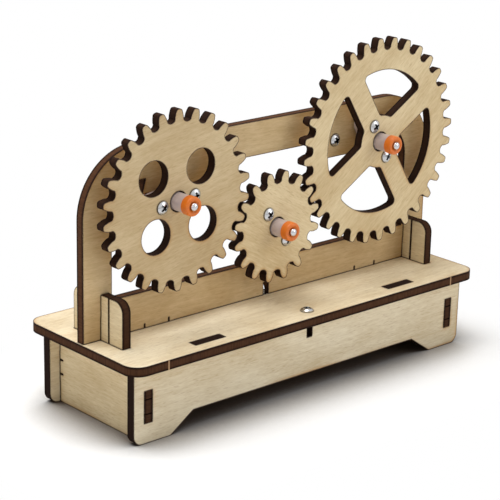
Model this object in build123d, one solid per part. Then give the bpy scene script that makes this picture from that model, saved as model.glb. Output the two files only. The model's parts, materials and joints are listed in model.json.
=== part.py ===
from build123d import *
import math
import os

os.makedirs("parts", exist_ok=True)

# Wooden gear train toy.  Sizes in millimetres.
# X runs along the length (left gear at -X), the gears stand on the -Y side, Z is up and the
# feet rest on Z = 0.  The pieces are drawn from the middle of the plate and then written out
# from the middle of the whole toy, because the drive gear and the crank reach past the plate.

# ---------------------------------------------------------------- sheet and joint sizes
ply = 3.0                # thickness of every plywood piece
joint_gap = 0.06         # air on each side of a tab in its slot
slit_width = 0.45        # saw-thin relief slits that let a pressed joint give

# ---------------------------------------------------------------- base
plate_length = 145.8
plate_width = 53.0
plate_corner = 5.0
base_height = 26.3       # floor to the top of the plate

apron_length = 139.4
apron_outer_y = 22.2     # centre plane to the outer face of an apron
apron_foot_round = 3.2
apron_cut_height = 6.0
apron_cut_floor_x = 56.0     # half width of the cut-out at the floor
apron_cut_top_x = 47.2       # half width of the cut-out at its top
apron_tab_length = 11.7
apron_tab_x = 40.75
pilot_slot_width = 2.3
pilot_slot_depth = 5.3

side_outer_x = 65.8      # centre plane to the outer face of a side panel
side_tab_height = 10.0
side_tab_z = 11.5        # height of the tab's middle
side_tab_slit_pitch = 4.6
side_tab_slit_root = 1.5     # how far the slits run on past the apron
neck_half_width = 11.9
neck_height = 14.2       # above the plate
neck_round = 3.5
neck_slit_y = 5.35
neck_slit_foot = 1.0     # how far the slits run down into the plate

# ---------------------------------------------------------------- upright frame
frame_half_length = 72.2
frame_height = 57.8      # above the plate
frame_corner = 20.5
post_width = 10.5
rail_height = 11.7
bar_height = 11.0
opening_corner = 10.0
frame_tab_length = 13.4
frame_tab_x = 44.6
frame_tab_slit_inset = 2.0
frame_tab_slit_root = 1.4
frame_pilot_height = 4.3
pad_inner_x = 22.0       # the pads that hang from the top bar and carry the outer axles
pad_outer_x = 49.1
pad_lean = 1.3           # slope at the foot of a pad's outer side
pad_lean_height = 4.6
left_pad_edge = 2.0      # the left pad's lower edge, above the left axle
right_pad_edge = -4.4    # the right pad's lower edge, from the drive axle
lobe_radius = 5.0        # wood kept round each axle

# ---------------------------------------------------------------- gears
tooth_size = 2.0         # module: pitch diameter over tooth count
pressure_angle = 14.5
tooth_addendum = 2.0
tooth_dedendum = 1.85
flank_trim = 0.03        # burnt off each flank by the laser
tip_round = 0.5
root_round = 0.7
mesh_slack = 1.0         # centre distance beyond the sum of the pitch radii

left_teeth = 26
idler_teeth = 16
drive_teeth = 32
drive_turn = 3.0         # angle of one tooth of the drive gear above +X

outer_axle_x = 42.3      # the two outer axles are mirrored in X
left_axle_z = 66.5
drive_axle_z = 71.6
gear_standoff = 4.0      # upright's face to the back of a gear

gear_bore = 6.3
left_hole_diameter = 10.8
left_hole_circle = 12.7
left_hole_turn = 48.2
window_inner_radius = 8.7
window_outer_radius = 23.6
window_corner = 1.4
spoke_width = 8.2
spoke_turn = 31.6

# ---------------------------------------------------------------- axles, hubs, caps, bushes
axle_diameter = 2.5
axle_overhang = 0.8      # steel showing past a cap
axle_dome = 0.5
press_gap = 0.02         # radial gap of a pressed joint in the model
running_gap = 0.06       # radial gap of a turning joint
end_float = 0.3          # gap between parts that turn and parts that stand still

hub_flange_thickness = 3.0
hub_flange_width = 6.6
hub_boss_diameter = 5.6
hub_boss_reach = 4.4     # boss showing past the gear
hub_screw_radius = 6.2
left_hub_turn = 7.6
idler_hub_turn = 129.3
drive_hub_turn = 119.1

cap_diameter = 6.0
cap_length = 2.8
cap_round = 0.6

bush_diameter = 4.5
bush_flange_diameter = 7.2
bush_flange = 0.7

# ---------------------------------------------------------------- screws
screw_diameter = 2.0
screw_length = 6.0
screw_point = 1.2
screw_head_diameter = 4.0
screw_head_height = 1.2
screw_head_rim = 0.45
recess_length = 2.3
recess_width = 0.55
recess_depth = 0.6
screw_slack = 0.15       # radial clearance of a screw in the piece that it clamps

# ---------------------------------------------------------------- rear bearing and crank
bearing_screw_x = 13.8   # each side of the drive axle
bearing_screw_rise = 1.2     # above the drive axle
bearing_plate_width = 13.0
crank_radius = 18.0
crank_width = 11.0
crank_tail = 8.0         # arm carried on past the axle
crank_turn = -20.0
knob_diameter = 9.0
knob_length = 14.0
knob_round = 2.0
knob_float = 0.3
rivet_head_diameter = 4.4
rivet_head = 0.8

# ---------------------------------------------------------------- what follows from the sizes
plate_bottom = base_height - ply
apron_inner_y = apron_outer_y - ply
side_mid_x = side_outer_x - ply / 2
neck_top = base_height + neck_height
lap_height = base_height + neck_height / 2
frame_top = base_height + frame_height
rail_top = base_height + rail_height
bar_bottom = frame_top - bar_height
opening_half = frame_half_length - post_width
bearing_screw_z = drive_axle_z + bearing_screw_rise
frame_face = -ply / 2
frame_back = ply / 2
gear_back = frame_face - gear_standoff
gear_face = gear_back - ply


def pitch_radius(teeth):
    return tooth_size * teeth / 2


def circles_meet(a, ra, b, rb):
    """Point below the line a-b that lies ra from a and rb from b, in the X-Z plane."""
    dx, dz = b[0] - a[0], b[1] - a[1]
    span = math.hypot(dx, dz)
    along = (ra ** 2 - rb ** 2 + span ** 2) / (2 * span)
    aside = math.sqrt(ra ** 2 - along ** 2)
    return (a[0] + (along * dx + aside * dz) / span, a[1] + (along * dz - aside * dx) / span)


left_axis = (-outer_axle_x, left_axle_z)
drive_axis = (outer_axle_x, drive_axle_z)
left_reach = pitch_radius(left_teeth) + pitch_radius(idler_teeth) + mesh_slack
drive_reach = pitch_radius(drive_teeth) + pitch_radius(idler_teeth) + mesh_slack
idler_axis = circles_meet(left_axis, left_reach, drive_axis, drive_reach)


def bearing(a, b):
    """Direction from a to b, in degrees above +X."""
    return math.degrees(math.atan2(b[1] - a[1], b[0] - a[0]))


def meshing_turn(axis, teeth, other_axis, other_teeth, other_turn):
    """Tooth angle that puts a gap of this gear on the line of centres where the other gear has
    a tooth, or carries the same share of a pitch across it."""
    phase = (bearing(other_axis, axis) - other_turn) * other_teeth / 360
    return bearing(axis, other_axis) + (0.5 + phase) * 360 / teeth


idler_turn = meshing_turn(idler_axis, idler_teeth, drive_axis, drive_teeth, drive_turn)
left_turn = meshing_turn(left_axis, left_teeth, idler_axis, idler_teeth, idler_turn)


# ---------------------------------------------------------------- helpers
def facing_front(y):
    """Sketch plane at depth y: sketch x is X, sketch y is Z, and it extrudes towards -Y."""
    return Plane(origin=(0, y, 0), x_dir=(1, 0, 0), z_dir=(0, -1, 0))


def facing_right(x):
    """Sketch plane at x: sketch x is Y, sketch y is Z, and it extrudes towards +X."""
    return Plane(origin=(x, 0, 0), x_dir=(0, 1, 0), z_dir=(1, 0, 0))


def box_between(x0, x1, y0, y1):
    """Sketch rectangle between two corners."""
    return Pos((x0 + x1) / 2, (y0 + y1) / 2) * Rectangle(x1 - x0, y1 - y0)


def board(outline, y_back):
    """Plywood board whose face is parallel to the X-Z plane."""
    return extrude(facing_front(y_back) * outline, ply)


def polar(radius, degrees, centre=(0, 0)):
    a = math.radians(degrees)
    return (centre[0] + radius * math.cos(a), centre[1] + radius * math.sin(a))


def disc(diameter, centre=(0, 0)):
    return Pos(*centre) * Circle(diameter / 2)


def rod(diameter, axis, y_back, y_front):
    """Round bar along Y between two depths."""
    return extrude(facing_front(y_back) * disc(diameter, axis), y_back - y_front)


def save(name, shape):
    """Write one piece, moved from the plate's middle to the middle of the whole toy."""
    placed = Pos(-middle_x, -middle_y, 0) * shape
    placed.label = name
    export_step(placed, f"parts/{name}.step")


# ---------------------------------------------------------------- screws
def pan_screw():
    """Self-tapping cross-head screw: head on +Z of its seat, shank on -Z."""
    r = screw_diameter / 2
    head_r = screw_head_diameter / 2
    dome = screw_head_height - screw_head_rim
    dome_radius = (head_r ** 2 + dome ** 2) / (2 * dome)
    half_way = math.asin(head_r / dome_radius) / 2
    on_dome = (dome_radius * math.sin(half_way), screw_head_height - dome_radius * (1 - math.cos(half_way)))
    with BuildPart() as screw:
        with BuildSketch(Plane.XZ):
            with BuildLine():
                Polyline((0, screw_head_height), (0, -screw_length), (r * 0.35, -screw_length),
                         (r, -screw_length + screw_point), (r, 0), (head_r, 0), (head_r, screw_head_rim))
                ThreePointArc((head_r, screw_head_rim), on_dome, (0, screw_head_height))
            make_face()
        revolve(axis=Axis.Z)
    recess = Box(recess_length, recess_width, recess_depth) + Box(recess_width, recess_length, recess_depth)
    return screw.part - Pos(0, 0, screw_head_height - recess_depth / 2) * recess


SCREW = pan_screw()


def screw_at(point, towards, turn=20.0):
    """Screw whose head seat lies at the point and whose head looks along the given direction."""
    return Plane(origin=point, z_dir=towards) * Rot(0, 0, turn) * SCREW


def hub_screw_points(axis, turn):
    return [polar(hub_screw_radius, turn + side, axis) for side in (0, 180)]


# ---------------------------------------------------------------- base
def top_plate():
    outline = RectangleRounded(plate_length, plate_width, plate_corner)
    tab_y = (apron_inner_y + apron_outer_y) / 2
    for side in (-1, 1):
        for end in (-1, 1):
            outline -= Pos(end * apron_tab_x, side * tab_y) * Rectangle(
                apron_tab_length + 2 * joint_gap, ply + 2 * joint_gap)
        outline -= Pos(side * frame_tab_x, 0) * Rectangle(
            frame_tab_length + 2 * joint_gap, ply + 2 * joint_gap)
        outline -= Pos(side * side_mid_x, 0) * Rectangle(
            ply + 2 * joint_gap, 2 * (neck_half_width + joint_gap))
        outline -= disc(screw_diameter + 2 * screw_slack, (0, side * tab_y))
    outline -= disc(screw_diameter + 2 * screw_slack)
    return extrude(Pos(0, 0, plate_bottom) * outline, ply)


def apron(side):
    """Long wall under the plate: side is -1 at the front and 1 at the back."""
    half = apron_length / 2
    outline = box_between(-half, half, 0, plate_bottom)
    outline = fillet(outline.vertices().group_by(Axis.Y)[0], apron_foot_round)
    outline -= make_face(Polyline(
        (-apron_cut_floor_x, 0), (-apron_cut_top_x, apron_cut_height),
        (apron_cut_top_x, apron_cut_height), (apron_cut_floor_x, 0), close=True))
    slot_half = side_tab_height / 2 + joint_gap
    for end in (-1, 1):
        tab_mid = end * apron_tab_x
        outline += box_between(tab_mid - apron_tab_length / 2, tab_mid + apron_tab_length / 2,
                               plate_bottom, base_height)
        slot_mid = end * side_mid_x
        outline -= box_between(slot_mid - ply / 2 - joint_gap, slot_mid + ply / 2 + joint_gap,
                               side_tab_z - slot_half, side_tab_z + slot_half)
    outline -= box_between(-pilot_slot_width / 2, pilot_slot_width / 2,
                           plate_bottom - pilot_slot_depth, plate_bottom)
    y_back = apron_outer_y if side > 0 else -apron_inner_y
    return board(outline, y_back)


def side_panel(end):
    """End wall of the base with the neck that rises through the plate and braces the frame."""
    outline = box_between(-apron_inner_y, apron_inner_y, 0, plate_bottom)
    outline += box_between(-apron_outer_y, apron_outer_y,
                           side_tab_z - side_tab_height / 2, side_tab_z + side_tab_height / 2)
    neck = box_between(-neck_half_width, neck_half_width, plate_bottom, neck_top)
    outline += fillet(neck.vertices().group_by(Axis.Y)[-1], neck_round)
    lap = ply / 2 + joint_gap
    outline -= box_between(-lap, lap, lap_height, neck_top)
    for side in (-1, 1):
        slit_y = side * neck_slit_y
        outline -= box_between(slit_y - slit_width / 2, slit_y + slit_width / 2,
                               base_height - neck_slit_foot, neck_top)
        slit_run = (apron_inner_y - side_tab_slit_root, apron_outer_y)
        y0, y1 = sorted(side * y for y in slit_run)
        for step in (-0.5, 0.5):
            slit_z = side_tab_z + step * side_tab_slit_pitch
            outline -= box_between(y0, y1, slit_z - slit_width / 2, slit_z + slit_width / 2)
    x_left = side_outer_x - ply if end > 0 else -side_outer_x
    return extrude(facing_right(x_left) * outline, ply)


# ---------------------------------------------------------------- upright frame
def hanging_pad(side, edge, axis):
    """Part of the top bar that reaches down to carry an outer axle: edge is the height of its
    lower edge from the axle."""
    bottom = axis[1] + edge
    corners = [(pad_inner_x, frame_top), (pad_inner_x, bottom), (pad_outer_x + pad_lean, bottom),
               (pad_outer_x, bottom + pad_lean_height), (pad_outer_x, frame_top)]
    pad = make_face(Polyline(*[(side * x, z) for x, z in corners], close=True))
    return pad + disc(2 * lobe_radius, axis)


def upright_frame():
    outline = box_between(-frame_half_length, frame_half_length, base_height, frame_top)
    outline = fillet(outline.vertices().group_by(Axis.Y)[-1], frame_corner)
    opening = box_between(-opening_half, opening_half, rail_top, bar_bottom)
    opening = fillet(opening.vertices().group_by(Axis.Y)[-1], opening_corner)
    opening -= hanging_pad(-1, left_pad_edge, left_axis)
    opening -= hanging_pad(1, right_pad_edge, drive_axis)
    opening -= box_between(idler_axis[0] - lobe_radius, idler_axis[0] + lobe_radius, rail_top, idler_axis[1])
    opening -= disc(2 * lobe_radius, idler_axis)
    outline -= opening
    for side in (-1, 1):
        tab_mid = side * frame_tab_x
        tab_half = frame_tab_length / 2
        outline += box_between(tab_mid - tab_half, tab_mid + tab_half, plate_bottom, base_height)
        for edge in (-1, 1):
            slit_x = tab_mid + edge * (tab_half - frame_tab_slit_inset)
            outline -= box_between(slit_x - slit_width / 2, slit_x + slit_width / 2,
                                   plate_bottom, base_height + frame_tab_slit_root)
        lap_mid = side * side_mid_x
        outline -= box_between(lap_mid - ply / 2 - joint_gap, lap_mid + ply / 2 + joint_gap,
                               base_height, lap_height)
    outline -= box_between(-pilot_slot_width / 2, pilot_slot_width / 2,
                           base_height, base_height + frame_pilot_height)
    for axis in (left_axis, idler_axis, drive_axis):
        outline -= disc(bush_diameter + 2 * press_gap, axis)
    for point in bearing_screw_points():
        outline -= disc(screw_diameter + 2 * screw_slack, point)
    return board(outline, frame_back)


def bearing_screw_points():
    return [(drive_axis[0] + side * bearing_screw_x, bearing_screw_z) for side in (-1, 1)]


def rear_bearing_plate():
    outline = SlotCenterToCenter(2 * bearing_screw_x, bearing_plate_width)
    outline = Pos(drive_axis[0], bearing_screw_z) * outline
    outline -= disc(bush_diameter + 2 * press_gap, drive_axis)
    for point in bearing_screw_points():
        outline -= disc(screw_diameter + 2 * press_gap, point)
    return board(outline, frame_back + ply)


# ---------------------------------------------------------------- gears
def involute(angle):
    return math.tan(angle) - angle


def gear_outline(teeth, turn):
    """Closed tooth outline: involute flanks, rounded tips and round-bottomed roots."""
    pitch_r = pitch_radius(teeth)
    base_r = pitch_r * math.cos(math.radians(pressure_angle))
    tip_r = pitch_r + tooth_addendum
    root_r = pitch_r - tooth_dedendum
    foot_r = root_r + root_round
    flank_top = tip_r - tip_round
    half_at_pitch = math.pi / 2 / teeth - flank_trim / pitch_r
    # the middle of a quarter rounding lies this far in from each of its corner's two sides
    corner_inset = tip_round * (1 - math.sqrt(0.5))
    shoulder = tip_r - corner_inset

    def half_angle(radius):
        lean = math.acos(base_r / radius) if radius > base_r else 0.0
        return math.degrees(half_at_pitch + involute(math.radians(pressure_angle)) - involute(lean))

    start_r = max(foot_r, base_r)
    radii = [start_r + (flank_top - start_r) * step / 5 for step in range(6)]
    tip_half = half_angle(tip_r) - math.degrees(tip_round / tip_r)
    shoulder_half = half_angle(shoulder) - math.degrees(corner_inset / tip_r)
    pitch = 360 / teeth
    edges = []
    for tooth in range(teeth):
        mid = turn + tooth * pitch
        rising = [polar(r, mid - half_angle(r)) for r in radii]
        falling = [polar(r, mid + half_angle(r)) for r in reversed(radii)]
        if foot_r < base_r:
            edges.append(Line(polar(foot_r, mid - half_angle(foot_r)), rising[0]))
        edges.append(Spline(*rising))
        tip_start = polar(tip_r, mid - tip_half)
        tip_end = polar(tip_r, mid + tip_half)
        edges.append(ThreePointArc(rising[-1], polar(shoulder, mid - shoulder_half), tip_start))
        edges.append(ThreePointArc(tip_start, polar(tip_r, mid), tip_end))
        edges.append(ThreePointArc(tip_end, polar(shoulder, mid + shoulder_half), falling[0]))
        edges.append(Spline(*falling))
        if foot_r < base_r:
            edges.append(Line(falling[-1], polar(foot_r, mid + half_angle(foot_r))))
        edges.append(ThreePointArc(polar(foot_r, mid + half_angle(foot_r)), polar(root_r, mid + pitch / 2),
                                   polar(foot_r, mid + pitch - half_angle(foot_r))))
    return make_face(Wire(edges))


def gear_face_at(axis, teeth, turn, hub_turn):
    outline = Pos(*axis) * gear_outline(teeth, turn)
    outline -= disc(gear_bore, axis)
    for point in hub_screw_points(axis, hub_turn):
        outline -= disc(screw_diameter + 2 * screw_slack, point)
    return outline


def left_gear():
    outline = gear_face_at(left_axis, left_teeth, left_turn, left_hub_turn)
    for quarter in range(4):
        outline -= disc(left_hole_diameter, polar(left_hole_circle, left_hole_turn + 90 * quarter, left_axis))
    return board(outline, gear_back)


def idler_gear():
    return board(gear_face_at(idler_axis, idler_teeth, idler_turn, idler_hub_turn), gear_back)


def drive_gear():
    outline = gear_face_at(drive_axis, drive_teeth, drive_turn, drive_hub_turn)
    ring = Circle(window_outer_radius) - Circle(window_inner_radius)
    for quarter in range(4):
        between = Rectangle(window_outer_radius, window_outer_radius, align=(Align.MIN, Align.MIN))
        window = ring & (Pos(spoke_width / 2, spoke_width / 2) * between)
        window = fillet(window.vertices(), window_corner)
        outline -= Pos(*drive_axis) * Rot(0, 0, spoke_turn + 90 * quarter) * window
    return board(outline, gear_back)


# ---------------------------------------------------------------- turning hardware
def hub(axis, turn, y_flange, outward):
    """Plastic hub: oblong flange against the sheet and a boss through it.  y_flange is the face
    that touches the sheet and outward is -1 for a boss towards the front, 1 for the back."""
    flange = SlotCenterToCenter(2 * hub_screw_radius, hub_flange_width)
    flange = Pos(*axis) * Rot(0, 0, turn) * flange
    for point in hub_screw_points(axis, turn):
        flange -= disc(screw_diameter + 2 * press_gap, point)
    y_far = y_flange - outward * hub_flange_thickness
    solid = extrude(facing_front(max(y_flange, y_far)) * flange, hub_flange_thickness)
    y_tip = y_flange + outward * (ply + hub_boss_reach)
    solid += rod(hub_boss_diameter, axis, max(y_flange, y_tip), min(y_flange, y_tip))
    return solid - rod(axle_diameter + 2 * press_gap, axis, max(y_far, y_tip), min(y_far, y_tip))


def cap(axis, y_seat, outward):
    """Soft stop pushed on the axle end: y_seat is its inner face."""
    y_far = y_seat + outward * cap_length
    solid = rod(cap_diameter, axis, max(y_seat, y_far), min(y_seat, y_far))
    rims = solid.edges().filter_by(GeomType.CIRCLE)
    outer = [edge for edge in rims if abs(edge.center().Y - y_far) < 0.01]
    solid = fillet(outer, cap_round)
    return solid - rod(axle_diameter + 2 * press_gap, axis, max(y_seat, y_far), min(y_seat, y_far))


def axle(axis, y_back, y_front):
    solid = rod(axle_diameter, axis, y_back, y_front)
    return fillet(solid.edges().filter_by(GeomType.CIRCLE), axle_dome)


def bush(axis, y_seat, outward):
    """Flanged sleeve pressed in a board: y_seat is the board's face under the flange."""
    y_flange = y_seat + outward * bush_flange
    y_end = y_seat - outward * ply
    solid = rod(bush_flange_diameter, axis, max(y_seat, y_flange), min(y_seat, y_flange))
    solid += rod(bush_diameter, axis, max(y_seat, y_end), min(y_seat, y_end))
    bore = axle_diameter + 2 * running_gap
    return solid - rod(bore, axis, max(y_flange, y_end), min(y_flange, y_end))


front_boss_end = gear_face - hub_boss_reach
front_cap_end = front_boss_end - cap_length
axle_front = front_cap_end - axle_overhang
rear_cap_seat = frame_back + end_float
rear_axle_end = rear_cap_seat + cap_length + axle_overhang

bearing_back = frame_back + ply
crank_hub_far = bearing_back + bush_flange + end_float
crank_face = crank_hub_far + hub_flange_thickness
crank_back = crank_face + ply
crank_boss_end = crank_back + hub_boss_reach
drive_axle_end = crank_boss_end + cap_length + axle_overhang
knob_axis = polar(crank_radius, crank_turn, drive_axis)
knob_seat = crank_back + knob_float
knob_end = knob_seat + knob_length
pin_cap_seat = knob_end + knob_float
pin_end = pin_cap_seat + cap_length + axle_overhang

# the toy runs from the plate's left end to the drive gear's last tooth, and from the plate's
# front edge to the end of the crank pin
middle_x = (outer_axle_x + pitch_radius(drive_teeth) + tooth_addendum - plate_length / 2) / 2
middle_y = (pin_end - plate_width / 2) / 2


def hub_screws(axis, turn, y_seat, towards):
    return Compound(children=[screw_at((x, y_seat, z), towards, turn + 35 * n)
                              for n, (x, z) in enumerate(hub_screw_points(axis, turn))])


def crank_arm():
    tail = polar(crank_tail - crank_width / 2, crank_turn + 180, drive_axis)
    middle = ((tail[0] + knob_axis[0]) / 2, (tail[1] + knob_axis[1]) / 2)
    reach = math.hypot(knob_axis[0] - tail[0], knob_axis[1] - tail[1])
    outline = Pos(*middle) * Rot(0, 0, crank_turn) * SlotCenterToCenter(reach, crank_width)
    outline -= disc(gear_bore, drive_axis)
    outline -= disc(axle_diameter + 2 * press_gap, knob_axis)
    for point in hub_screw_points(drive_axis, crank_turn):
        outline -= disc(screw_diameter + 2 * screw_slack, point)
    return board(outline, crank_back)


def knob_pin():
    shaft = rod(axle_diameter, knob_axis, pin_end, crank_face)
    end_edge = [edge for edge in shaft.edges().filter_by(GeomType.CIRCLE) if edge.center().Y > knob_end]
    shaft = fillet(end_edge, axle_dome)
    return shaft + rod(rivet_head_diameter, knob_axis, crank_face, crank_face - rivet_head)


def crank_knob():
    knob = rod(knob_diameter, knob_axis, knob_end, knob_seat)
    knob = fillet(knob.edges().filter_by(GeomType.CIRCLE), knob_round)
    return knob - rod(axle_diameter + 2 * running_gap, knob_axis, knob_end, knob_seat)


# ---------------------------------------------------------------- write the pieces
save("top_plate", top_plate())
save("front_apron", apron(-1))
save("back_apron", apron(1))
save("left_side_panel", side_panel(-1))
save("right_side_panel", side_panel(1))
save("upright_frame", upright_frame())
save("rear_bearing_plate", rear_bearing_plate())

save("left_gear", left_gear())
save("idler_gear", idler_gear())
save("drive_gear", drive_gear())

for name, axis, turn in (("left", left_axis, left_hub_turn), ("idler", idler_axis, idler_hub_turn),
                         ("drive", drive_axis, drive_hub_turn)):
    save(f"{name}_hub", hub(axis, turn, gear_back, -1))
    save(f"{name}_hub_screws", hub_screws(axis, turn, gear_face, (0, -1, 0)))
    save(f"{name}_front_cap", cap(axis, front_boss_end, -1))
    save(f"{name}_bush", bush(axis, frame_face, -1))

for name, axis in (("left", left_axis), ("idler", idler_axis)):
    save(f"{name}_axle", axle(axis, rear_axle_end, axle_front))
    save(f"{name}_rear_cap", cap(axis, rear_cap_seat, 1))

save("drive_axle", axle(drive_axis, drive_axle_end, axle_front))
save("drive_rear_bush", bush(drive_axis, bearing_back, 1))
save("crank_arm", crank_arm())
save("crank_hub", hub(drive_axis, crank_turn, crank_face, 1))
save("crank_hub_screws", hub_screws(drive_axis, crank_turn, crank_back, (0, 1, 0)))
save("crank_cap", cap(drive_axis, crank_boss_end, 1))
save("knob_pin", knob_pin())
save("crank_knob", crank_knob())
save("knob_cap", cap(knob_axis, pin_cap_seat, 1))

apron_screw_y = (apron_inner_y + apron_outer_y) / 2
save("base_screws", Compound(children=[
    screw_at((0, -apron_screw_y, base_height), (0, 0, 1), 30),
    screw_at((0, apron_screw_y, base_height), (0, 0, 1), 75),
    screw_at((0, 0, plate_bottom), (0, 0, -1), 10)]))
save("bearing_plate_screws", Compound(children=[
    screw_at((x, frame_face, z), (0, -1, 0), 25) for x, z in bearing_screw_points()]))
print("plate middle to toy middle", round(middle_x, 4), round(middle_y, 4))
print("axes from the toy's middle", [(round(x - middle_x, 4), round(z, 4))
                                     for x, z in (left_axis, idler_axis, drive_axis, knob_axis)])
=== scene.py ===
"""Looks for a wooden crank gear toy: laser-cut birch plywood boards and gears, moulded hubs and
stops, steel axles and screws, on a pale floor under soft light.  Lengths are in metres."""

import json
import math

import bpy
from mathutils import Matrix, Vector


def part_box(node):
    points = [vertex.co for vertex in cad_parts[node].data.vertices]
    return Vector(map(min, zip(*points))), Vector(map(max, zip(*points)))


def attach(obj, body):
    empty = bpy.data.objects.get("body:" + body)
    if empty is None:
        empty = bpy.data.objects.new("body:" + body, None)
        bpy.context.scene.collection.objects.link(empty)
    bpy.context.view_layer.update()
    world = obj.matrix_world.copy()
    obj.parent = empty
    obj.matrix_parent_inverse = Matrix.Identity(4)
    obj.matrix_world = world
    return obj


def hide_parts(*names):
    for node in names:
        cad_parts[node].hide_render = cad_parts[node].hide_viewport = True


bl_info = {
    "name": "Crank gear toy looks",
    "version": (1, 0, 0),
    "blender": (4, 5, 0),
    "location": "3D View > Sidebar > Gear toy",
    "description": "Dresses a plywood gear train toy with its materials, hardware and stage",
    "category": "Object",
}

MM = 0.001
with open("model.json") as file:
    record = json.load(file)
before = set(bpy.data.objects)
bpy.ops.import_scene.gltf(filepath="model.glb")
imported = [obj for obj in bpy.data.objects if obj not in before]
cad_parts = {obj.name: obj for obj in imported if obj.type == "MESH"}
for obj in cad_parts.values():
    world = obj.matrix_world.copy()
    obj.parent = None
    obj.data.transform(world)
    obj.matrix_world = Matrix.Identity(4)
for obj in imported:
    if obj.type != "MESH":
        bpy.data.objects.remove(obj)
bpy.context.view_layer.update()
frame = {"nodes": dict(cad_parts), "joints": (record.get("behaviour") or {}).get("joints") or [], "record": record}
BODY_OF = {node: body for body, nodes in frame["record"]["behaviour"]["bodies"].items()
           for node in nodes}
JOINT_AT = {joint["name"]: Vector(joint["pos_m"]) for joint in frame["joints"]}
# joint that carries each hub, and the hub's angle in degrees from +X towards +Z
HUBS = {"left_hub": ("left_spin", 7.6), "idler_hub": ("idler_spin", 129.3),
        "drive_hub": ("drive_spin", 119.1), "crank_hub": ("drive_spin", -20.0)}
SCREW_REACH = 6.2 * MM     # from a hub's middle to each of its two screws
TIGHT_BORE = 1.27 * MM     # radius of the axle's hole in hubs and stops
RUNNING_BORE = 1.31 * MM   # radius of the hole in bushes and the knob, which turn freely


# ---------------------------------------------------------------- colour and node helpers
def linear(code):
    """sRGB hex, such as E8D5AE, as a linear RGBA colour."""
    channels = [int(code[i:i + 2], 16) / 255 for i in (0, 2, 4)]
    return tuple(c / 12.92 if c <= 0.04045 else ((c + 0.055) / 1.055) ** 2.4 for c in channels) + (1.0,)


def add(tree, kind, links=None, **settings):
    """Adds a node.  Settings that name an input set it, the others set the node's own options,
    and links joins outputs of other nodes to its inputs by name or number."""
    node = tree.nodes.new(kind)
    for key, value in settings.items():
        setattr(node, key, value)
    for key, value in (links or {}).items():
        if isinstance(value, bpy.types.NodeSocket):
            tree.links.new(value, node.inputs[key])
        else:
            node.inputs[key].default_value = value
    return node


def new_material(name):
    """Empty material with its output node, ready for a shader."""
    material = bpy.data.materials.new(name)
    material.use_nodes = True
    material.node_tree.nodes.clear()
    return material, material.node_tree


def finish_material(tree, shader):
    add(tree, "ShaderNodeOutputMaterial", {"Surface": shader.outputs[0]})


# ---------------------------------------------------------------- settings a user would change
class GearToyWood(bpy.types.PropertyGroup):
    """Plywood colours and the laser's marks."""
    plate: bpy.props.StringProperty(
        name="Plate veneer", description="sRGB hex of the plate's pale wood", default="F4E6C8")
    wall: bpy.props.StringProperty(
        name="Wall veneer", description="sRGB hex of the aprons' pale wood", default="E3D7BC")
    panel: bpy.props.StringProperty(
        name="Panel veneer", description="sRGB hex of the end panels' pale wood", default="E6D5B0")
    frame: bpy.props.StringProperty(
        name="Frame veneer", description="sRGB hex of the upright's pale wood", default="D6BC90")
    gear: bpy.props.StringProperty(
        name="Gear veneer", description="sRGB hex of the left gear's wood", default="D2BC94")
    pale_gear: bpy.props.StringProperty(
        name="Pale gear veneer", description="sRGB hex of the other two gears' wood",
        default="E3CFA6")
    char_dark: bpy.props.StringProperty(
        name="Char", description="sRGB hex of the burnt cut edge", default="1C0F0A")
    char_brown: bpy.props.StringProperty(
        name="Scorched core", description="sRGB hex of the less burnt middle layer of the cut edge",
        default="66432C")
    scorch: bpy.props.StringProperty(
        name="Scorch line", description="sRGB hex of the line along a cut", default="3A2215")
    scorch_width: bpy.props.FloatProperty(
        name="Scorch width", description="Width of the dark line along a cut",
        default=0.6 * MM, unit="LENGTH")
    # width of the dark joint line, which is partly burnt wood and partly painted contact shade in inside corners
    joint_and_shade_width: bpy.props.FloatProperty(
        name="Joint line width", description="Width of the dark line where two boards meet",
        default=0.55 * MM, unit="LENGTH")


class GearToyHardware(bpy.types.PropertyGroup):
    """Plastic and metal colours."""
    hub: bpy.props.StringProperty(name="Hub nylon", description="sRGB hex", default="CFBDB4")
    stop: bpy.props.StringProperty(name="Stop orange", description="sRGB hex", default="E27508")
    steel: bpy.props.StringProperty(name="Axle steel", description="sRGB hex", default="E4E4E6")
    zinc: bpy.props.StringProperty(name="Screw zinc", description="sRGB hex", default="DADBDC")
    knob: bpy.props.StringProperty(name="Knob beech", description="sRGB hex", default="CFA775")


class GearToyStage(bpy.types.PropertyGroup):
    """Floor, lamps and camera."""
    key_power: bpy.props.FloatProperty(
        name="Key power", description="Power of the overhead softbox in watts", default=3.7)
    fill_power: bpy.props.FloatProperty(
        name="Fill power", description="Power of the front softbox in watts", default=2.0)
    side_power: bpy.props.FloatProperty(
        name="Side power", description="Power of the left softbox in watts", default=0.42)
    ambient: bpy.props.FloatProperty(
        name="Ambient", description="Strength of the room's even light", default=0.33)


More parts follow.
